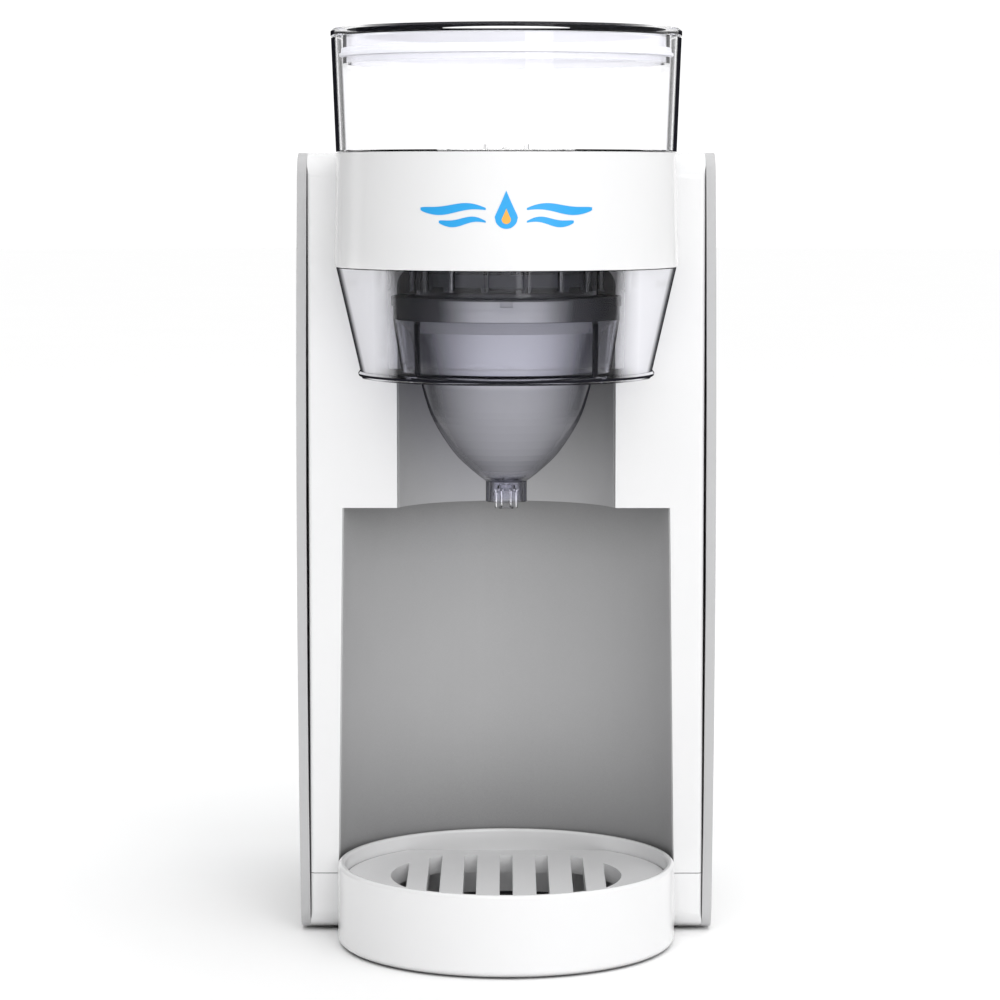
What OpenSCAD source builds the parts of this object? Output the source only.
// Automatic baby formula dispenser: powder hopper over a mixing funnel, bottle bay and drip tray,
// with a water tank, pump and heater behind. Front faces -Y, origin under the middle of the base.

/* [Overall] */
// Width across the two side panels
overall_w = 175; // [174:1:180]
// Depth from the front of the hopper lid to the back of the base
overall_d = 280; // [278:1:300]
// Height to the top of the hopper lid
overall_h = 377.2; // [375:1:385]

/* [Body] */
// Half width of the white columns
column_half_w = 82.5; // [82:0.5:83]
// Distance of the columns' front face behind the axis of hopper, funnel and tray
face_setback = 15; // [14:0.5:16]
// Height of the gap between the table and the body
table_gap = 1; // [0.5:0.5:1.5]
// Height of the seam between base and housing
seam_z = 25.5; // [24:0.5:28]
// Top of the columns and of the head
body_top = 327.4; // [326:0.2:328]
// Back of the body, in front of the water tank
body_back = 80; // [79:1:82]
// Wall thickness of the mouldings
wall = 2.5; // [2:0.1:2.6]

/* [Bottle bay] */
// Radius of the bay wall at the base
bay_r_low = 72.5; // [72:0.1:73]
// Radius of the bay wall at its ceiling
bay_r_high = 70; // [69.5:0.1:70.2]
// Height of the bay ceiling
bay_top = 180; // [178:1:181]
// Radius of the funnel groove above the bay
groove_r = 48; // [48:0.1:48.4]

/* [Head] */
// Underside of the head
head_bottom = 280.9; // [280.5:0.1:281]
// Radius of the head band at its lower edge
head_r_low = 70.25; // [70:0.05:70.3]
// Radius of the head band at its top
head_r_high = 69.3; // [69:0.1:69.5]

/* [Hopper] */
// Radius of the hopper at its foot
hopper_r_low = 69.5; // [69:0.1:69.8]
// Radius of the hopper at its rim
hopper_r_high = 71.3; // [71:0.1:71.4]
// Radius of the lid
lid_r = 71.5; // [71.5:0.1:72]
// Distance of the powder pockets from the axis
pocket_pitch_r = 22; // [21.8:0.1:22.2]
// Radius of each powder pocket
pocket_r = 8; // [7:0.5:8]

/* [Funnel drawer] */
// Radius of the drawer's clear front at its floor
cup_r_low = 59.2; // [58:0.1:60]
// Radius of the drawer's clear front under the head
cup_r_high = 69.6; // [69:0.1:69.8]
// Height of the drawer's floor
cup_floor = 235.5; // [235:0.5:236]

/* [Drip tray] */
// Radius of the drip tray
tray_r = 70; // [69:0.5:70.5]
// Height of the tray's rim
tray_top = 34; // [32:0.5:36]
// Height of the tray's underside
tray_bottom = 4.5; // [4.5:0.1:5]

/* [Water tank] */
// Half width of the water tank
tank_half_w = 68; // [60:1:70]
// Height of the tank's underside
tank_bottom = 41.4; // [41.3:0.1:41.6]
// Height of the tank's rim
tank_top = 304.5; // [290:0.5:305]

/* [Gear train] */
// Module of the gears
gear_module = 1; // [1:0.1:1]
// Teeth on the gear that turns the powder wheel
drive_teeth = 22; // [22:1:22]
// Teeth on the gear between drive gear and pinion
idler_teeth = 43; // [43:1:43]
// Teeth on the motor pinion
pinion_teeth = 24; // [24:1:24]

/* [Hidden] */
$fn = 72;

eps = 0.02;             // overshoot of a cut through a face
gap = 0.3;              // clearance between separate bodies
running = 0.05;         // radial clearance of a turning fit
axis_y = lid_r - overall_d / 2;
face_y = axis_y + face_setback;
back_y = overall_d / 2;
panel_out = overall_w / 2;
front_back_seam = 40;   // y of the seam between front and rear housing
floor_top = table_gap + wall;
bay_floor = tray_bottom - gap;
panel_thick = 4;
panel_bow = 1;          // how far the panels lean in at top and bottom
roll_top = 11;          // radius of the rolled top edge
roll_bottom = 9;        // radius of the rolled bottom edge
groove_top = head_bottom - 0.4;

// Gear stack in the head
plate_z = 285;
gear_z = 288.5;
gear_h = 6;
well_floor = 297.5;
idler_y = axis_y + (drive_teeth + idler_teeth) * gear_module / 2;
pinion_y = idler_y + (idler_teeth + pinion_teeth) * gear_module / 2;
drive_shaft_r = 5;
dog_r = 6.2;
idler_axle_r = 2.5;
motor_shaft_r = 2.5;
motor_r = 14;
hose_sides = 10;

// Hopper levels
hopper_foot = body_top + 0.2;
hopper_floor = 298.2;
hopper_floor_t = 2.5;
hopper_rim = overall_h - 3.8;
wheel_r = 32;
wheel_z = hopper_floor + hopper_floor_t + 0.3;
wheel_h = 11;
hub_r = 9;
well_r = wheel_r + 3.4;

// Funnel drawer levels
plate_t = 2.9;
pocket_top = 259.9;
ring_low = 265.2;
ring_high = 269.2;
ring_r = 47.2;
nozzle_low = 184.5;

// Tank and dock
dock_top = tank_bottom - 0.4;
dock_y0 = body_back + gap;
tank_y0 = 84;
tank_back = back_y - 1.2;
tank_wall = 2.4;
valve_y = 112;
valve_head_top = tank_bottom + tank_wall + 2.4;
valve_cage_top = tank_bottom + 15.6;
hinge_y = tank_y0 + 2.2;
hinge_z = tank_top + 3;

// Controls on the right side panel
control_y = -4;
control_z = 236;
control_half_w = 26;
control_half_h = 50;
button_face = panel_out - 0.3;
button_r = 6.5;

// ---------- helpers ----------
function mix(a, b, t) = a + (b - a) * t;
function bay_r(z) = mix(bay_r_low, bay_r_high, (z - tray_bottom) / (bay_top - tray_bottom));
function polar(r, a) = [r * cos(a), r * sin(a)];

module at_axis() { translate([0, axis_y, 0]) children(); }

module revolve(points) { rotate_extrude() polygon(points); }

module ring(r_out, r_in, z0, z1) {
  revolve([[r_in, z0], [r_out, z0], [r_out, z1], [r_in, z1]]);
}

module post(r, z0, z1) { translate([0, 0, z0]) cylinder(r = r, h = z1 - z0); }

module rod_x(r, x0, x1, y, z) { translate([x0, y, z]) rotate([0, 90, 0]) cylinder(r = r, h = x1 - x0); }

module rod_y(r, y0, y1, x, z) { translate([x, y0, z]) rotate([-90, 0, 0]) cylinder(r = r, h = y1 - y0); }

module rod_z(r, z0, z1, x, y) { translate([x, y, z0]) cylinder(r = r, h = z1 - z0); }

module block(x0, x1, y0, y1, z0, z1) { translate([x0, y0, z0]) cube([x1 - x0, y1 - y0, z1 - z0]); }

// Rectangle with its own radius at each corner: lower left, lower right, upper right, upper left
module soft_box(x0, y0, x1, y1, r) {
  spots = [[x0, y0, 1, 1], [x1, y0, -1, 1], [x1, y1, -1, -1], [x0, y1, 1, -1]];
  difference() {
    translate([x0, y0]) square([x1 - x0, y1 - y0]);
    for (i = [0:3]) if (r[i] > 0) {
      s = spots[i];
      difference() {
        translate([s[0] - (s[2] > 0 ? 1 : r[i]), s[1] - (s[3] > 0 ? 1 : r[i])]) square(r[i] + 1);
        translate([s[0] + s[2] * r[i], s[1] + s[3] * r[i]]) circle(r[i]);
      }
    }
  }
}

// A shape drawn in y and z, extruded from x0 to x1
module along_x(x0, x1) {
  translate([x0, 0, 0]) rotate([90, 0, 90]) linear_extrude(x1 - x0) children();
}

// A shape drawn in x and z, extruded from y0 to y1
module along_y(y0, y1) {
  translate([0, y1, 0]) rotate([90, 0, 0]) linear_extrude(y1 - y0) children();
}

module up(z0, z1) { translate([0, 0, z0]) linear_extrude(z1 - z0) children(); }

// Paths of hoses and springs
function unit(v) = v / norm(v);
function rounded(points, bend) = [
  points[0],
  for (i = [1:len(points) - 2])
    let (p = points[i], a = p + unit(points[i - 1] - p) * bend, b = p + unit(points[i + 1] - p) * bend)
      for (t = [0:0.2:1]) a * (1 - t) * (1 - t) + p * 2 * t * (1 - t) + b * t * t,
  points[len(points) - 1]
];
function directions(path) = [for (i = [0:len(path) - 1])
  unit((i > 0 ? unit(path[i] - path[i - 1]) : [0, 0, 0])
    + (i < len(path) - 1 ? unit(path[i + 1] - path[i]) : [0, 0, 0]))];
function carried(dirs, i, side) = i == len(dirs) ? [] :
  let (s = unit(side - dirs[i] * (side * dirs[i]))) concat([s], carried(dirs, i + 1, s));

// A round section of radius r swept along a path; side is a first direction across the path
module sweep(path, r, side, n) {
  dirs = directions(path);
  sides = carried(dirs, 0, side);
  last = (len(path) - 1) * n;
  polyhedron(
    points = [for (i = [0:len(path) - 1], j = [0:n - 1])
      path[i] + r * (cos(j * 360 / n) * sides[i] + sin(j * 360 / n) * cross(dirs[i], sides[i]))],
    faces = concat(
      [[for (j = [0:n - 1]) j]],
      [for (i = [0:len(path) - 2], j = [0:n - 1], k = [0, 1])
        let (a = i * n + j, b = i * n + (j + 1) % n) k == 0 ? [a, a + n, b] : [b, a + n, b + n]],
      [[for (j = [n - 1:-1:0]) last + j]]
    )
  );
}

// A hose along straight runs joined by bends of the given size
module hose(points, r, bend, side) { sweep(rounded(points, bend), r, side, hose_sides); }

// Pan-head screw with its tip at the origin, head up, with a cross recess
module screw(length, r) {
  head_h = r * 1.2;
  difference() {
    union() {
      cylinder(r = r, h = length);
      translate([0, 0, length]) cylinder(r = r * 2, h = head_h);
    }
    for (a = [0, 90]) rotate(a) translate([-r * 1.2, -r * 0.25, length + head_h * 0.4])
      cube([r * 2.4, r * 0.5, head_h]);
  }
}

// Gear outline with straight flanks and a little backlash
module gear_shape(teeth) {
  pitch_r = teeth * gear_module / 2;
  tip_r = pitch_r + 0.8 * gear_module;
  root_r = pitch_r - 1.1 * gear_module;
  step = 360 / teeth;
  polygon([for (i = [0:teeth - 1]) each [
    polar(root_r, (i - 0.29) * step), polar(tip_r, (i - 0.09) * step),
    polar(tip_r, (i + 0.09) * step), polar(root_r, (i + 0.29) * step)
  ]]);
}

// ---------- body ----------
module body_plan(inset, y0, y1, r_back) {
  soft_box(-column_half_w + inset, y0 + inset, column_half_w - inset, y1, [2, 2, r_back, r_back]);
}

module bay_cone(extra, z0, z1) {
  at_axis() translate([0, 0, z0]) cylinder(r1 = bay_r(z0) + extra, r2 = bay_r(z1) + extra, h = z1 - z0);
}

module dock_plan(inset) {
  soft_box(-tank_half_w - 5 + inset, body_back - 22, tank_half_w + 5 - inset, tank_back - inset,
    [0, 0, 14 - inset, 14 - inset]);
}

module screw_towers(z0, z1, r, spots) { for (p = spots) rod_z(r, z0, z1, p[0], p[1]); }

tower_x = column_half_w - 7;
base_towers = [for (y = [-44, 30, 70], x = [-tower_x, tower_x]) [x, y]];
foot_spots = [[-66, -38], [66, -38], [-58, 124], [58, 124], [-34, axis_y - 40], [34, axis_y - 40]];

module base_shell() {
  color("white") difference() {
    union() {
      difference() {
        intersection() {
          up(table_gap, seam_z - gap) body_plan(0, face_y, body_back, 3);
          along_x(-overall_w, overall_w)
            soft_box(face_y, table_gap, body_back, seam_z, [roll_bottom, 3, 0, 0]);
        }
        difference() {
          up(floor_top, seam_z) body_plan(wall, face_y + 6, body_back - wall, 1);
          bay_cone(wall, 0, seam_z + 1);
        }
      }
      at_axis() rod_z(62, table_gap, bay_floor, 0, 0);
      difference() {
        union() {
          up(table_gap, seam_z - gap) dock_plan(0);
          intersection() {
            up(table_gap, dock_top - wall) dock_plan(0);
            block(-overall_w, overall_w, dock_y0, back_y, 0, dock_top);
          }
        }
        up(floor_top, dock_top) intersection() {
          dock_plan(wall);
          translate([-overall_w, dock_y0 + wall]) square([overall_w * 2, back_y]);
        }
      }
      screw_towers(floor_top - eps, seam_z - gap, 5, base_towers);
    }
    bay_cone(0, bay_floor, seam_z + 1);
    // open passage from the pan to the dock
    block(-tank_half_w, tank_half_w, body_back - 24, dock_y0 + wall + eps, floor_top, seam_z + 1);
    // foot recesses, cooling slots, screw holes
    for (p = foot_spots) rod_z(9.05, 0, table_gap + 1.2, p[0], p[1]);
    for (i = [-3:3]) block(i * 9 - 2, i * 9 + 2, 16, 46, 0, floor_top + 1);
    screw_towers(0, seam_z, 1.6, base_towers);
    screw_towers(0, floor_top + 4, 3.4, base_towers);
    // openings for the power inlet and the switch
    block(-54.2, -25.8, back_y - 12, back_y, 10.8, 31.2);
    block(30.8, 51.2, back_y - 12, back_y, 13.8, 28.2);
  }
}

module rubber_feet() {
  color([0.12, 0.12, 0.13]) for (p = foot_spots) translate([p[0], p[1], 0]) difference() {
    union() {
      cylinder(r1 = 8.2, r2 = 9, h = table_gap);
      translate([0, 0, table_gap]) cylinder(r = 9, h = 1.2);
    }
    translate([0, 0, -eps]) cylinder(r = 3, h = 0.8);
  }
}

module front_block(inset) {
  intersection() {
    up(seam_z, body_top - inset) body_plan(inset, face_y, front_back_seam, 0);
    along_x(-overall_w, overall_w)
      soft_box(face_y + inset, seam_z, front_back_seam, body_top - inset, [0, 0, 0, roll_top - inset]);
  }
}

module front_housing() {
  color("white") difference() {
    union() {
      difference() {
        front_block(0);
        translate([0, 0, -1]) front_block(wall);
        block(-column_half_w + wall, column_half_w - wall, front_back_seam - 2, front_back_seam + 1, 0,
          body_top - wall - 1);
      }
      for (x = [-tower_x, tower_x]) for (y = [-44, 30])
        difference() { rod_z(5, seam_z, seam_z + 30, x, y); rod_z(1.6, 0, seam_z + 20, x, y); }
    }
    bay_cone(0, seam_z - 1, bay_top);
    along_y(face_y - 1, face_y + wall + 1)
      soft_box(-groove_r + 2.5, bay_top - 5, groove_r - 2.5, head_bottom - 0.3, [0, 0, 8, 8]);
    at_axis() translate([0, 0, head_bottom - gap])
      cylinder(r1 = head_r_low + 0.35, r2 = head_r_high + 0.3, h = body_top + eps - head_bottom + gap);
    // window behind the controls, and pilot holes for the panel pegs
    along_x(column_half_w - wall - 1, column_half_w + 1)
      soft_box(control_y - 22, control_z - 46, control_y + 22, control_z + 46, [8, 8, 8, 8]);
    for (p = peg_spots(front_back_seam)) rod_x(1.55, -overall_w, overall_w, p[0], p[1]);
  }
}

function peg_spots(limit) = [for (p = [[-40, 60], [-40, 300], [30, 60], [30, 300], [62, 60], [62, 300]])
  if (limit > 40 ? p[0] > 40 : p[0] < 40) p];

module bay_liner() {
  color([0.72, 0.72, 0.73]) difference() {
    bay_cone(2, seam_z + gap, bay_top + 2);
    difference() {
      bay_cone(0, seam_z, bay_top);
      at_axis() rod_z(100, bay_top, bay_top + 1, 0, 0);
    }
    at_axis() rod_z(groove_r + 2 + eps, bay_top - 1, bay_top + 3, 0, 0);
    block(-100, 100, -200, face_y + wall + 0.1, 0, bay_top + 3);
  }
}

module groove_liner() {
  color([0.72, 0.72, 0.73]) difference() {
    at_axis() ring(groove_r + 2, groove_r, bay_top, groove_top);
    block(-100, 100, -200, face_y + wall + 0.1, 0, head_bottom);
    rod_y(3.3, axis_y, axis_y + 100, -20, 276);
    block(38, 60, axis_y + 24, axis_y + 30, ring_low - 1, ring_high + 0.8);
  }
}

// Side panels are slightly curved plates, held by pegs
module panel_outline(side) {
  steps = 16;
  mid = (table_gap + body_top) / 2;
  half = (body_top - table_gap) / 2;
  arc = [for (i = [0:steps]) let (u = 2 * i / steps - 1) [panel_out - panel_bow * u * u, mid + half * u]];
  polygon([for (p = concat(arc, [for (i = [steps:-1:0]) [arc[i][0] - panel_thick, arc[i][1]]]))
    [p[0] * side, p[1]]]);
}

module side_panel(side) {
  intersection() {
    along_y(face_y, body_back) panel_outline(side);
    along_x(-overall_w, overall_w)
      soft_box(face_y, table_gap, body_back, body_top, [roll_bottom, 6, 12, roll_top]);
  }
  for (limit = [0, 50]) for (p = peg_spots(limit))
    rod_x(1.5, side > 0 ? 76 : -84, side > 0 ? 84 : -76, p[0], p[1]);
}

module left_side_panel() { color([0.93, 0.93, 0.94]) side_panel(-1); }

module right_side_panel() {
  color([0.93, 0.93, 0.94]) difference() {
    side_panel(1);
    along_x(panel_out - 10, panel_out + 1)
      soft_box(control_y - control_half_w - 0.2, control_z - control_half_h - 0.2,
        control_y + control_half_w + 0.2, control_z + control_half_h + 0.2, [14, 14, 14, 14]);
  }
}

module rear_block(inset) {
  y0 = front_back_seam + 0.2;
  intersection() {
    up(seam_z, body_top - inset)
      soft_box(-column_half_w + inset, y0, column_half_w - inset, body_back - inset,
        [0, 0, 8 - inset, 8 - inset]);
    along_x(-overall_w, overall_w)
      soft_box(y0, seam_z, body_back - inset, body_top - inset, [0, 0, 12 - inset, 0]);
  }
}

module rear_housing() {
  color("white") difference() {
    union() {
      difference() {
        rear_block(0);
        translate([0, 0, -1]) rear_block(wall);
        block(-80, 80, front_back_seam, front_back_seam + 3, 0, body_top - wall);
      }
      for (x = [-tower_x, tower_x])
        difference() { rod_z(5, seam_z, seam_z + 30, x, 70); rod_z(1.6, 0, seam_z + 20, x, 70); }
    }
    // air slots, and the cut that clears the dock
    for (i = [0:7]) block(-30, 30, body_back - wall - 1, body_back + 1, 60 + i * 8, 63 + i * 8);
    for (p = peg_spots(50)) rod_x(1.55, -overall_w, overall_w, p[0], p[1]);
  }
}

module tank_dock() {
  color("white") difference() {
    union() {
      intersection() {
        up(dock_top - wall, dock_top) dock_plan(0);
        block(-overall_w, overall_w, dock_y0, back_y, 0, dock_top);
      }
      for (x = [-66, 66]) block(x - 1.5, x + 1.5, dock_y0 + 6, back_y - 24, dock_top - 12, dock_top - 1);
      translate([0, valve_y, dock_top - 14]) cylinder(r = 19, h = 13);
    }
    rod_z(16.4, dock_top - 11.5, dock_top + 1, 0, valve_y);
    rod_z(12.1, dock_top - 15, dock_top, 0, valve_y);
  }
}

module chassis_frame() {
  y0 = 52;
  color([0.55, 0.56, 0.58]) difference() {
    union() {
      block(-70, 70, y0, y0 + wall, floor_top, plate_z);
      block(-70, 70, y0 - 12, y0 + wall, floor_top, floor_top + wall);
      for (x = [-70, 67.5]) block(x, x + wall, y0 - 12, y0 + wall, floor_top, plate_z);
      block(-28, 28, 14, y0 + 1, plate_z - wall, plate_z);
    }
    for (x = [-36, 36]) along_y(y0 - 1, y0 + wall + 1)
      soft_box(x - 22, 10, x + 22, 96, [6, 6, 6, 6]);
    along_y(y0 - 1, y0 + wall + 1) soft_box(-8, 82, 8, 102, [4, 4, 4, 4]);
    along_y(y0 - 1, y0 + wall + 1) soft_box(12, 120, 56, 265, [6, 6, 6, 6]);
    for (x = [-18, 18]) rod_z(1.6, plate_z - wall - 1, plate_z + 1, x, 22);
  }
}

// ---------- head and gear train ----------
rail_profile = [
  [50, head_bottom + 1], [48, head_bottom + 1], [48, 271], [53.5, 271], [53.5, 273.6], [50, 273.6]
];

module head_band() {
  inner = head_r_high - wall;
  color("white") difference() {
    union() {
      at_axis() revolve([
        [38.2, head_bottom], [head_r_low, head_bottom], [head_r_high, body_top], [inner, body_top],
        [inner + 0.8, head_bottom + wall], [38.2, head_bottom + wall]
      ]);
      // rails that carry the funnel drawer
      for (x = [-1, 1]) along_y(face_y - 46, face_y - 1)
        polygon([for (p = rail_profile) [p[0] * x, p[1]]]);
    }
    // room for motor and pinion behind
    block(-26, 26, -20, 12, head_bottom - 1, well_floor + 4);
  }
}

module head_well() {
  color([0.9, 0.9, 0.91]) difference() {
    at_axis() revolve([
      [0, well_floor - 2], [well_r + 1.8, well_floor - 2], [well_r + 1.8, 312.4], [66.6, 324.2],
      [66.6, body_top - 0.2], [65, body_top - 0.2], [65, 325.2], [well_r, 313.4], [well_r, well_floor],
      [0, well_floor]
    ]);
    at_axis() rod_z(8.1, well_floor - 3, well_floor + 1, 0, 0);
    at_axis() rod_z(pocket_r + 0.2, well_floor - 3, well_floor + 1, 0, -pocket_pitch_r);
  }
}

module gear_plate() {
  color([0.6, 0.61, 0.63]) difference() {
    union() {
      up(plate_z, plate_z + wall) {
        translate([0, axis_y]) circle(44);
        translate([-22, axis_y]) square([44, pinion_y - axis_y + 20]);
      }
      block(-22, 22, pinion_y + 19, 45, plate_z, plate_z + wall);
      for (x = [-37, 37]) for (dy = [-20, 20]) at_axis() rod_z(2.5, head_bottom + wall, plate_z + 1, x, dy);
    }
    at_axis() rod_z(pocket_r + 1.4, plate_z - 1, plate_z + 4, 0, -pocket_pitch_r);
    at_axis() rod_z(drive_shaft_r + running, plate_z - 1, plate_z + 4, 0, 0);
    rod_z(idler_axle_r, plate_z - 1, plate_z + 4, 0, idler_y);
    rod_z(5.2, plate_z - 1, plate_z + 4, 0, pinion_y);
    for (x = [-9, 9]) {
      rod_z(1.55, plate_z - 1, plate_z + 4, x, pinion_y);
      rod_z(3.2, plate_z + wall - 1.3, plate_z + 4, x, pinion_y);
    }
    for (x = [-18, 18]) rod_z(1.6, plate_z - 1, plate_z + 4, x, 22);
  }
}

module shaft_seal() {
  color([0.15, 0.15, 0.16]) at_axis() ring(8.1, drive_shaft_r + gap, well_floor - 2, well_floor);
}

module drive_gear() {
  color([0.85, 0.85, 0.82]) at_axis() {
    translate([0, 0, gear_z]) rotate(90) linear_extrude(gear_h) gear_shape(drive_teeth);
    post(drive_shaft_r, plate_z - 0.1, hopper_floor + 0.2);
    translate([0, 0, hopper_floor + 0.1]) rotate(30) cylinder(r = dog_r, h = 7.6, $fn = 6);
  }
}

module idler_gear() {
  color([0.85, 0.85, 0.82]) translate([0, idler_y, gear_z]) difference() {
    union() {
      rotate(270 + 180 / idler_teeth) linear_extrude(gear_h) gear_shape(idler_teeth);
      translate([0, 0, -0.6]) cylinder(r = 5, h = 1);
    }
    translate([0, 0, -1]) cylinder(r = idler_axle_r + running, h = gear_h + 2);
    translate([0, 0, gear_h - 1.6]) difference() {
      cylinder(r = 17, h = 2);
      translate([0, 0, -1]) cylinder(r = 5.5, h = 4);
    }
  }
}

module idler_axle() {
  color("silver") {
    rod_z(idler_axle_r, plate_z, gear_z + gear_h + 0.3, 0, idler_y);
    rod_z(4, gear_z + gear_h + 0.3, gear_z + gear_h + 0.9, 0, idler_y);
  }
}

module motor_pinion() {
  color([0.75, 0.65, 0.4]) translate([0, pinion_y, gear_z]) difference() {
    rotate(270 + 180 / pinion_teeth) linear_extrude(gear_h) gear_shape(pinion_teeth);
    translate([0, 0, -1]) cylinder(r = motor_shaft_r, h = gear_h + 2);
  }
}

module motor_shaft() {
  color("silver") rod_z(motor_shaft_r, plate_z - 6, gear_z + gear_h + 0.4, 0, pinion_y);
}

module gear_motor() {
  color([0.55, 0.56, 0.58]) difference() {
    union() {
      rod_z(motor_r, plate_z - 23, plate_z, 0, pinion_y);
      rod_z(motor_r - 1.8, plate_z - 48, plate_z - 23, 0, pinion_y);
      rod_z(5, plate_z - 50, plate_z - 48, 0, pinion_y);
      for (x = [-7, 7]) block(x - 1, x + 1, pinion_y - 0.4, pinion_y + 0.4, plate_z - 54, plate_z - 48);
    }
    rod_z(motor_shaft_r + running, plate_z - 7, plate_z + 1, 0, pinion_y);
    for (x = [-9, 9]) rod_z(1.5, plate_z - 7, plate_z + 1, x, pinion_y);
  }
}

module powder_outlet() {
  color([0.75, 0.75, 0.78]) difference() {
    at_axis() union() {
      ring(37.7, 35.7, ring_high + 0.4, head_bottom + wall);
      ring(39.3, 35.7, head_bottom + wall, head_bottom + wall + 1.2);
      post(36, head_bottom + 0.2, head_bottom + 2.2);
      translate([0, -pocket_pitch_r, 0]) post(pocket_r + 1.2, 272, well_floor - 2.1);
      for (i = [0:15]) rotate(i * 22.5 + 11.25) translate([39.6, 0, 0]) post(0.9, 271.5, head_bottom);
      for (i = [0:15]) rotate(i * 22.5 + 11.25) translate([37.5, -0.5, 272]) cube([2, 1, 8]);
    }
    at_axis() translate([0, -pocket_pitch_r, 0]) post(pocket_r + 0.2, 271, well_floor);
    rod_y(3.05, axis_y, axis_y + 60, -20, 276);
  }
}

module water_ring() {
  color([0.82, 0.84, 0.86]) {
    at_axis() ring(35.3, 31.6, 273.5, 278.5);
    at_axis() for (i = [0:11]) rotate(i * 30 + 15) translate([33.4, 0, 271.5])
      cylinder(r1 = 0.9, r2 = 1.4, h = 2.1);
    at_axis() for (a = [30, 150, 270]) rotate(a) translate([33.4, 0, 0]) post(1.5, 278.4, head_bottom + 0.2);
    rod_y(3, axis_y + 27.5, -14, -20, 276);
  }
}

// ---------- powder hopper ----------
module powder_hopper() {
  t = 2.3;
  color([0.85, 0.87, 0.95, 0.4]) difference() {
    at_axis() revolve([
      [hub_r + running, hopper_floor], [wheel_r + 2.8, hopper_floor], [wheel_r + 2.8, 313.7], [64.5, 325.5],
      [64.5, hopper_foot], [hopper_r_low, hopper_foot], [hopper_r_high, hopper_rim],
      [hopper_r_high - t, hopper_rim], [hopper_r_low - t, hopper_foot + 0.6], [62.4, hopper_foot + 0.2],
      [wheel_r + 0.4, 315.8], [wheel_r + 0.4, hopper_floor + hopper_floor_t],
      [hub_r + running, hopper_floor + hopper_floor_t]
    ]);
    at_axis() rod_z(pocket_r, hopper_floor - 1, hopper_floor + hopper_floor_t + 1, 0, -pocket_pitch_r);
  }
}

module metering_wheel() {
  color([0.93, 0.94, 0.95]) at_axis() difference() {
    union() {
      post(wheel_r, wheel_z, wheel_z + wheel_h);
      post(hub_r, hopper_floor + 0.2, wheel_z + 1);
    }
    for (i = [0:5]) rotate(i * 60 + 30) translate([pocket_pitch_r, 0, 0])
      post(pocket_r, wheel_z - 1, wheel_z + wheel_h + 1);
    translate([0, 0, hopper_floor - 1]) rotate(30) cylinder(r = dog_r + 0.4, h = 9.3, $fn = 6);
  }
}

module stirrer() {
  z0 = wheel_z + wheel_h;
  tip = 330.7;
  color([0.86, 0.88, 0.95, 0.6]) at_axis() {
    difference() {
      post(hub_r + 0.2, z0, tip);
      post(hub_r - 1.4, tip - 3, tip + 1);
    }
    translate([0, 0, tip - 3.2]) cylinder(r1 = 3, r2 = 0.6, h = 2.8);
    for (a = [0, 120, 240]) rotate(a + 50) rotate([90, 0, 0]) translate([0, 0, -1.5]) linear_extrude(3)
      polygon([
        [7, z0 + 4.6], [wheel_r, z0 + 5.4], [52, 325.6], [52, 328.2], [wheel_r - 4, z0 + 9], [7, z0 + 9]
      ]);
    for (a = [0, 120, 240]) rotate(a + 50) translate([24, 0, 0]) post(1.4, z0 + 8, z0 + 15);
  }
}

module scraper() {
  z0 = wheel_z + wheel_h + gap;
  color([0.9, 0.9, 0.92]) at_axis() {
    intersection() {
      ring(wheel_r + 0.4, hub_r + 0.9, z0, z0 + 1.8);
      up(z0, z0 + 3) polygon([[0, 0], [-60, -60], [60, -60]]);
    }
    for (s = [-1, 1]) rotate(s * 45 - 90) block(hub_r + 1.2, wheel_r, -0.8, 0.8, z0, z0 + 3);
  }
}

module hopper_lid() {
  top = overall_h;
  under = hopper_rim + 0.4;
  color([0.85, 0.87, 0.95, 0.4]) at_axis() difference() {
    revolve([
      [0, under], [64.5, under], [64.5, 363], [66.5, 363], [66.5, under], [lid_r - 0.6, under],
      [lid_r, under + 0.6], [lid_r, top - 1], [lid_r - 1, top], [0, top]
    ]);
    // finger recesses either side of a grip bar
    for (s = [-1, 1]) intersection() {
      post(26, top - 1.6, top + 1);
      block(-30, 30, s > 0 ? 5 : -30, s > 0 ? 30 : -5, top - 1.6, top + 1);
    }
  }
}

module lid_seal() {
  color([0.8, 0.8, 0.84, 0.8]) at_axis() revolve([
    [66.5, 365.5], [68, 366], [68, 367], [67.2, 367.6], [67.2, 369], [66.5, 369.4]
  ]);
}

// ---------- funnel drawer ----------
module cup_front(inset) {
  slope = (cup_r_high - cup_r_low) / (head_bottom - gap - cup_floor);
  base = cup_r_low + slope * inset;
  top = head_bottom - gap + (inset > 0 ? 1 : 0);
  at_axis() revolve([
    [0, cup_floor + inset], [base - inset, cup_floor + inset], [cup_r_high - inset, top], [0, top]
  ]);
}

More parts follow.
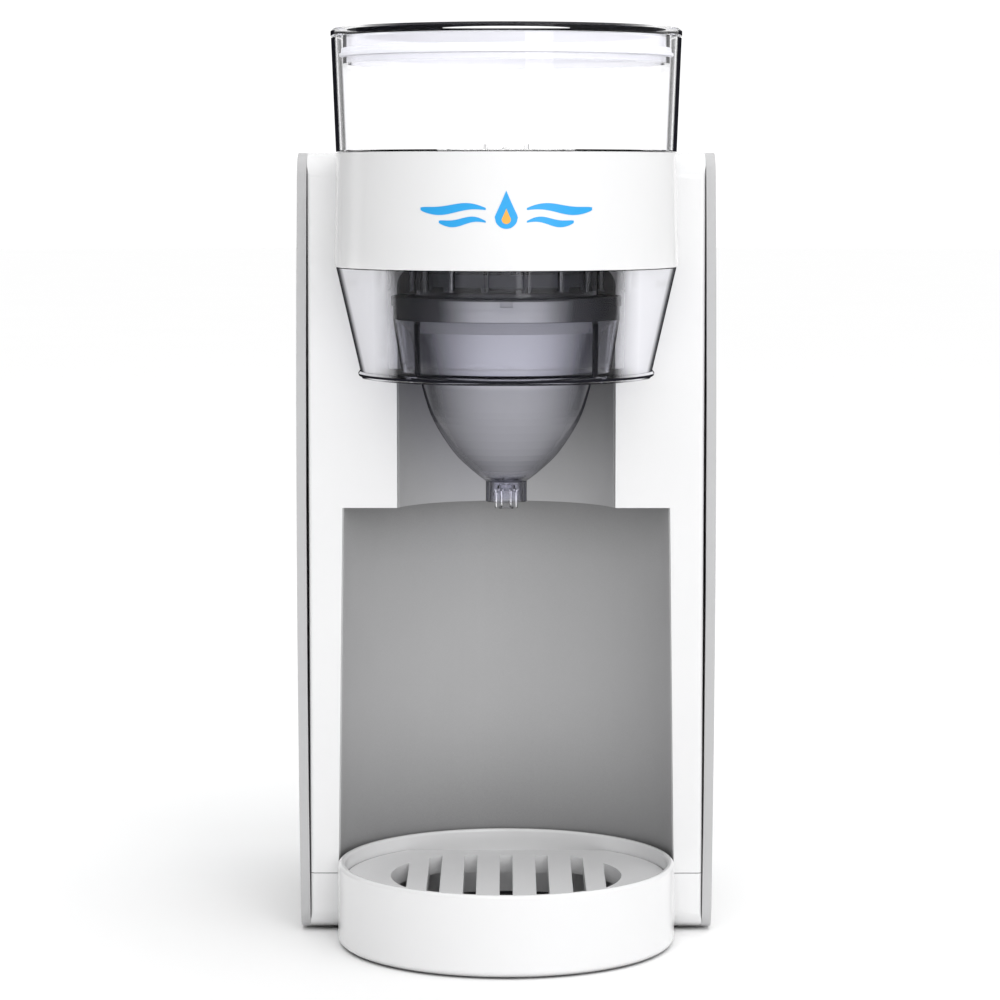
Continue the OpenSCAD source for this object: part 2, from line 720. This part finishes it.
module funnel_drawer() {
  t = 2.2;
  color([0.8, 0.82, 0.92, 0.45]) difference() {
    union() {
      difference() {
        cup_front(0);
        cup_front(t);
        block(-100, 100, face_y - gap, 100, 0, 400);
      }
      // floor with its rolled lip, and the tongue that reaches into the groove
      difference() {
        at_axis() revolve([
          [0, cup_floor], [cup_r_low - 0.6, cup_floor], [cup_r_low + 1.3, cup_floor + 1],
          [cup_r_low + 1.6, cup_floor + 2], [cup_r_low + 1, cup_floor + plate_t], [0, cup_floor + plate_t]
        ]);
        block(-100, 100, face_y - gap, 100, 0, 400);
      }
      at_axis() post(44.2, cup_floor, cup_floor + plate_t);
      at_axis() revolve([
        [40.9, cup_floor + 1], [42.7, cup_floor + 1], [46.5, pocket_top], [44.7, pocket_top]
      ]);
      // ribs between the pocket and the front, and side gussets
      intersection() {
        cup_front(t - 0.4);
        difference() {
          for (x = [-35, 35]) block(x - 0.9, x + 0.9, axis_y - 62, axis_y - 26, cup_floor + 1, pocket_top);
          at_axis() revolve([[0, cup_floor], [42, cup_floor + 1], [46, pocket_top + 1], [0, pocket_top + 1]]);
        }
      }
      // runners that hang on the rails under the head
      intersection() {
        cup_front(t - 0.4);
        for (s = [-1, 1]) block(s > 0 ? 51 : -66, s > 0 ? 66 : -51, face_y - 45, face_y - gap, 274, 276.4);
      }
    }
    at_axis() rod_z(37.4, cup_floor - 1, cup_floor + plate_t + 1, 0, 0);
  }
}

function between(a, b, c, d, t) =
  0.5 * (2 * b + (c - a) * t + (2 * a - 5 * b + 4 * c - d) * t * t + (3 * b - a - 3 * c + d) * t * t * t);
function smooth_line(p, steps) = concat(
  [for (i = [0:len(p) - 2]) for (k = [0:steps - 1])
    between(p[max(i - 1, 0)], p[i], p[i + 1], p[min(i + 2, len(p) - 1)], k / steps)],
  [p[len(p) - 1]]
);
cone_profile = smooth_line(
  [[36.5, 239.5], [33.7, 228.3], [29.8, 217.5], [21.6, 204.7], [14.1, 197.3], [8.4, 192.8]], 4);

module funnel() {
  t = 1.8;
  last = len(cone_profile) - 1;
  color([0.75, 0.77, 0.88, 0.5]) difference() {
    at_axis() revolve(concat(
      [[ring_r, ring_low], [ring_r, ring_high], [ring_r - 5, ring_high], [ring_r - 5, ring_low + 2]],
      [[38.6, 256], [38.6 - 2, 241]],
      [for (i = [0:last - 1]) cone_profile[i] + [-t * 1.15, t * 0.5]],
      [[6.9, 193.6], [6.9, nozzle_low], [8.4, nozzle_low]],
      [for (i = [last:-1:0]) cone_profile[i]],
      [[40.4, 255], [44.4, ring_low - 5.2], [46.4, ring_low - 5.2], [46.4, ring_low]]
    ));
    // notch at the front of the flange
    at_axis() block(-2.5, 2.5, -ring_r - 1, -ring_r + 1.6, ring_low + 0.8, ring_high + 1);
  }
}

module funnel_nozzle() {
  color([0.8, 0.82, 0.9, 0.6]) at_axis() {
    ring(6.85, 5.6, 187.5, 192.6);
    for (a = [0, 60, 120]) rotate(a) block(-6.2, 6.2, -0.5, 0.5, 189, 191.4);
    post(1.2, 189, 197);
    translate([0, 0, 197]) cylinder(r1 = 1.2, r2 = 0.1, h = 1.5);
    ring(3, 2, 181.4, 189.5);
    for (a = [0:90:270]) rotate(a + 45) block(2.6, 6.2, -0.6, 0.6, 182, 189.5);
  }
}

// ---------- drip tray ----------
skirt_low = 0.8;

module drip_tray() {
  color("white") at_axis() difference() {
    revolve([
      [0, tray_bottom], [tray_r - 2.6, tray_bottom], [tray_r - 2.6, skirt_low], [tray_r - 1.6, skirt_low],
      [tray_r - 0.5, skirt_low + 1], [tray_r, skirt_low + 2.6], [tray_r, tray_top - 1],
      [tray_r - 1, tray_top], [tray_r - 2.4, tray_top], [tray_r - 3, tray_top - 0.8], [tray_r - 3, 24.4],
      [tray_r - 5.5, 24.4], [tray_r - 5.5, tray_bottom + 2.4], [0, tray_bottom + 2.4]
    ]);
    // the skirt hides the foot from the front only, so the tray can slide off it
    block(-tray_r - 1, tray_r + 1, face_y - axis_y - 1, tray_r + 1, -1, tray_bottom);
  }
}

module drip_grate() {
  top = 27.8;
  t = 3;
  deep = 7.5;
  slot_r = 48;
  color([0.88, 0.88, 0.89]) at_axis() difference() {
    union() {
      post(tray_r - 3.4, top - t, top);
      post(slot_r + 3, top - deep, top);
    }
    block(-100, 100, 51, 100, top - deep - 1, top + 1);
    intersection() {
      post(slot_r, top - deep - 1, top + 1);
      union() {
        for (i = [-2:2]) block(i * 15 - 2.7, i * 15 + 2.7, -60, 40, top - deep - 1, top + 1);
        for (s = [-1, 1]) block(s > 0 ? 41 : -60, s > 0 ? 60 : -41, -24, 24, top - deep - 1, top + 1);
      }
    }
  }
}

// ---------- water side ----------
module tank_plan(inset) {
  soft_box(-tank_half_w + inset, tank_y0 + inset, tank_half_w - inset, tank_back - inset,
    [6 - inset, 6 - inset, 18 - inset, 18 - inset]);
}

module hinge_ear(x) {
  along_x(x - 2, x + 2) difference() {
    union() {
      translate([hinge_y - 2, tank_top - 3]) square([4.2, 6]);
      translate([hinge_y, hinge_z]) circle(2.6);
    }
    translate([hinge_y, hinge_z]) circle(1.5 + running);
  }
}

module water_tank() {
  color([0.7, 0.78, 0.85, 0.45]) difference() {
    union() {
      difference() {
        up(tank_bottom, tank_top) tank_plan(0);
        up(tank_bottom + tank_wall, tank_top + 1) tank_plan(tank_wall);
      }
      for (x = [-34, 34]) hinge_ear(x);
      rod_z(9, tank_bottom - 9, tank_bottom + 1, 0, valve_y);
      // cage that holds the valve's spring down
      for (a = [0, 120, 240]) translate([0, valve_y, 0]) rotate(a) translate([9, 0, 0])
        post(1.2, tank_bottom + 1.5, valve_cage_top + 1);
      rod_z(11, valve_cage_top, valve_cage_top + 1.6, 0, valve_y);
    }
    rod_z(5, tank_bottom - 10, tank_bottom + 4, 0, valve_y);
    rod_z(7.2, tank_bottom - 10, tank_bottom - 5.6, 0, valve_y);
  }
}

module tank_lid() {
  z0 = tank_top + 0.5;
  color([0.9, 0.9, 0.92]) difference() {
    union() {
      up(z0, z0 + 3.2) intersection() {
        tank_plan(0);
        translate([-100, hinge_y + 3.2]) square([200, 100]);
      }
      up(z0 - 6, z0 + 1) intersection() {
        difference() { tank_plan(tank_wall + 0.5); tank_plan(tank_wall + 2.3); }
        translate([-100, hinge_y + 3.2]) square([200, 100]);
      }
      rod_x(2.4, -31.6, 31.6, hinge_y, hinge_z);
      rod_x(1.5, -36, 36, hinge_y, hinge_z);
      block(-31.6, 31.6, hinge_y, hinge_y + 5, z0 + 0.6, z0 + 3.2);
    }
    // finger recess along the back edge
    up(z0 + 1.6, z0 + 4) soft_box(-24, tank_back - 14, 24, tank_back - 4, [4, 4, 4, 4]);
  }
}

module tank_valve() {
  color([0.3, 0.45, 0.6]) translate([0, valve_y, 0]) {
    post(6.8, tank_bottom + tank_wall + gap, valve_head_top);
    post(2.2, tank_bottom - 7, valve_head_top);
  }
}

module valve_spring() {
  turns = 4;
  steps = 16;
  z0 = valve_head_top + 0.7;
  rise = valve_cage_top - 0.7 - z0;
  color("silver") translate([0, valve_y, 0]) sweep(
    [for (i = [0:turns * steps]) let (a = i * 360 / steps)
      [4.4 * cos(a), 4.4 * sin(a), z0 + rise * i / (turns * steps)]],
    0.5, [1, 0, 0], 8);
}

module dock_valve() {
  color([0.2, 0.2, 0.22]) translate([0, valve_y, 0]) difference() {
    union() {
      post(12, 14, dock_top - 11.6);
      post(3.4, 20, tank_bottom - 7 - gap);
      rotate([90, 0, 0]) translate([0, 18, 0]) cylinder(r = 3, h = 20);
    }
    post(9.6, dock_top - 13.6, dock_top);
  }
}

module suction_hose() {
  color([0.85, 0.86, 0.88])
    hose([[0, valve_y - 20, 18], [0, 66, 18], [46, 58, 18], [46, 30, 18], [46, 30, 34]], 4, 8, [0, 0, 1]);
}

module pump() {
  color([0.25, 0.25, 0.27]) {
    block(26, 66, 14, 46, 40, 74);
    rod_z(14, 74, 104, 46, 30);
    rod_z(4, 34, 40, 46, 30);
    rod_y(4, 46, 50, 34, 56);
    for (x = [28, 64]) for (y = [17, 36]) rod_z(2, floor_top, 40, x, y);
  }
}

module pressure_hose() {
  route = [[34, 50, 56], [34, 64, 56], [0, 64, 60], [0, 64, 92], [0, 34, 92], [0, 34, 104]];
  color([0.85, 0.86, 0.88]) hose(route, 3.6, 8, [0, 0, 1]);
}

module flow_meter() {
  color([0.9, 0.9, 0.88]) {
    rod_z(12, 104, 118, 0, 34);
    rod_z(3.6, 118, 124, 0, 34);
    block(-5, 5, 44, 52, 106, 116);
  }
}

module heater() {
  color([0.75, 0.76, 0.78]) translate([-46, 24, 0]) {
    post(23, 140, 236);
    translate([0, 0, 236]) cylinder(r1 = 23, r2 = 8, h = 6);
    translate([0, 0, 134]) cylinder(r1 = 8, r2 = 23, h = 6);
    post(3.6, 242, 250);
    post(3.6, 124, 134);
    for (x = [-9, 9]) translate([x, 0, 0]) post(2.5, 130, 136);
  }
}

module heater_bracket() {
  color("silver") for (z = [156, 212]) difference() {
    union() {
      translate([-46, 24, z]) cylinder(r = 24.2, h = 10);
      block(-58, -34, 40, 52, z, z + 10);
    }
    translate([-46, 24, z - 1]) cylinder(r = 23, h = 12);
  }
}

module heater_hoses() {
  color([0.85, 0.86, 0.88]) {
    hose([[-46, 24, 250], [-46, 24, 276], [-20, 10, 276], [-20, -14, 276]], 3.6, 10, [1, 0, 0]);
    hose([[0, 34, 124], [0, 34, 134], [-20, 30, 134], [-20, 26, 110], [-46, 24, 110], [-46, 24, 124]], 3.6, 5,
      [1, 0, 0]);
  }
}

// ---------- electronics ----------
module main_board() {
  y0 = 60;
  color([0.1, 0.4, 0.22]) {
    block(-62, 6, y0, y0 + 1.6, 150, 282);
    for (x = [-58, 2]) for (z = [154, 278]) rod_y(2.4, 54.5, y0, x, z);
  }
  color([0.2, 0.2, 0.22]) {
    block(-56, -26, y0 + 1.6, y0 + 15, 240, 270);
    block(-18, 0, y0 + 1.6, y0 + 12, 250, 270);
    for (z = [164, 184]) rod_y(6, y0 + 1.6, y0 + 15, -46, z);
    block(-20, -6, y0 + 1.6, y0 + 4, 200, 214);
    for (i = [0:3]) block(-58 + i * 14, -48 + i * 14, y0 + 1.6, y0 + 8, 222, 230);
  }
}

buttons = [
  ["power", 0, -36], ["start", 0, -18], ["amount", -12, 2], ["temperature", 12, 2], ["recipe", 0, 14]
];
function button_spot(i) = [control_y + buttons[i][1], control_z + buttons[i][2]];

module control_board() {
  x = 75;
  color([0.1, 0.4, 0.22]) block(x, x + 1.6, control_y - 20, control_y + 20, control_z - 44, control_z + 44);
  color([0.3, 0.3, 0.32]) {
    block(x + 1.6, x + 5.6, control_y - 17, control_y + 17, control_z + 23, control_z + 42);
    for (i = [0:4]) rod_x(2.2, x + 1.6, 80.6, button_spot(i)[0], button_spot(i)[1]);
  }
}

module control_fascia() {
  x0 = panel_out - panel_thick + 0.9;
  x1 = panel_out - 0.5;
  color([0.12, 0.12, 0.14]) difference() {
    union() {
      along_x(x0, x1)
        soft_box(control_y - control_half_w, control_z - control_half_h,
          control_y + control_half_w, control_z + control_half_h, [14, 14, 14, 14]);
      for (y = [-24, 24]) for (z = [-30, 30])
        rod_x(1.4, column_half_w, x0 + eps, control_y + y, control_z + z);
    }
    along_x(x0 - 1, x1 + 1)
      soft_box(control_y - 17, control_z + 24, control_y + 17, control_z + 42, [3, 3, 3, 3]);
    for (i = [0:4]) rod_x(button_r + gap, x0 - 1, x1 + 1, button_spot(i)[0], button_spot(i)[1]);
  }
}

module display_window() {
  color([0.05, 0.08, 0.1]) along_x(panel_out - panel_thick + 1.2, panel_out - 0.6)
    soft_box(control_y - 17, control_z + 24, control_y + 17, control_z + 42, [3, 3, 3, 3]);
}

module button(i) {
  y = button_spot(i)[0];
  z = button_spot(i)[1];
  rod_x(button_r, panel_out - panel_thick + 0.4, button_face, y, z);
  rod_x(button_r + 0.9, panel_out - panel_thick - 0.9, panel_out - panel_thick + 0.5, y, z);
  rod_x(2, 81.8, panel_out - panel_thick + 1.1, y, z);
}

module power_button() { color("white") button(0); }

module start_button() { color([0.3, 0.7, 0.9]) button(1); }

module amount_button() { color("white") button(2); }

module temperature_button() { color("white") button(3); }

module recipe_button() { color("white") button(4); }

module power_inlet() {
  color([0.1, 0.1, 0.11]) difference() {
    union() {
      along_y(tank_back, back_y) soft_box(-57, 8.6, -23, 33.4, [3, 3, 3, 3]);
      along_y(back_y - 24, tank_back + eps) soft_box(-54, 11, -26, 31, [1, 1, 1, 1]);
    }
    along_y(back_y - 20, back_y + 1) soft_box(-52.2, 12.8, -27.8, 29.2, [1, 1, 6, 6]);
  }
  color([0.8, 0.75, 0.5]) {
    for (x = [-47, -33]) block(x - 1, x + 1, back_y - 21, back_y - 4, 22.4, 26.4);
    block(-41, -39, back_y - 21, back_y - 4, 24.6, 28.4);
  }
}

module power_switch() {
  color([0.1, 0.1, 0.11]) difference() {
    union() {
      along_y(tank_back, back_y) soft_box(28.6, 11.6, 53.4, 30.4, [2, 2, 2, 2]);
      along_y(back_y - 16, tank_back + eps) soft_box(31, 14, 51, 28, [1, 1, 1, 1]);
    }
    along_y(back_y - 12, back_y + 1) soft_box(32.6, 14.9, 49.4, 27.1, [0.5, 0.5, 0.5, 0.5]);
    rod_x(1.2 + running, 31.5, 50.5, back_y - 5, 21);
  }
}

module power_rocker() {
  color([0.75, 0.1, 0.1]) translate([41, back_y - 5, 21]) {
    along_x(-8, 8) polygon([[-2.6, -4.6], [2.2, -4.9], [3.1, -1.5], [3.1, 0.4], [3.6, 4.9], [-2.6, 4.6]]);
    rod_x(1.2, -9.2, 9.2, 0, 0);
  }
}

module drawer_sensor() {
  color([0.15, 0.15, 0.16]) at_axis() {
    block(46, 58, 22, 34, 260, 273);
    block(41.2, 46.1, 25, 29, ring_low + 0.8, ring_high - 1.2);
  }
}

module case_screws() {
  color("silver") for (p = base_towers) translate([p[0], p[1], seam_z + 12]) rotate([180, 0, 0])
    screw(seam_z + 12 - floor_top - 4, 1.5);
}

module frame_screws() {
  color("silver") {
    for (x = [-18, 18]) translate([x, 22, plate_z - 5]) screw(5 + wall, 1.5);
    for (x = [-9, 9]) translate([x, pinion_y, plate_z - 6.3]) screw(5 + wall, 1.45);
  }
}

base_shell();
rubber_feet();
front_housing();
bay_liner();
groove_liner();
left_side_panel();
right_side_panel();
rear_housing();
tank_dock();
chassis_frame();
head_band();
head_well();
gear_plate();
shaft_seal();
powder_outlet();
water_ring();
drive_gear();
idler_gear();
idler_axle();
motor_pinion();
motor_shaft();
gear_motor();
powder_hopper();
metering_wheel();
stirrer();
scraper();
hopper_lid();
lid_seal();
funnel_drawer();
funnel();
funnel_nozzle();
drip_tray();
drip_grate();
water_tank();
tank_lid();
tank_valve();
valve_spring();
dock_valve();
suction_hose();
pump();
pressure_hose();
flow_meter();
heater();
heater_bracket();
heater_hoses();
main_board();
control_board();
control_fascia();
display_window();
power_button();
start_button();
amount_button();
temperature_button();
recipe_button();
power_inlet();
power_switch();
power_rocker();
drawer_sensor();
case_screws();
frame_screws();
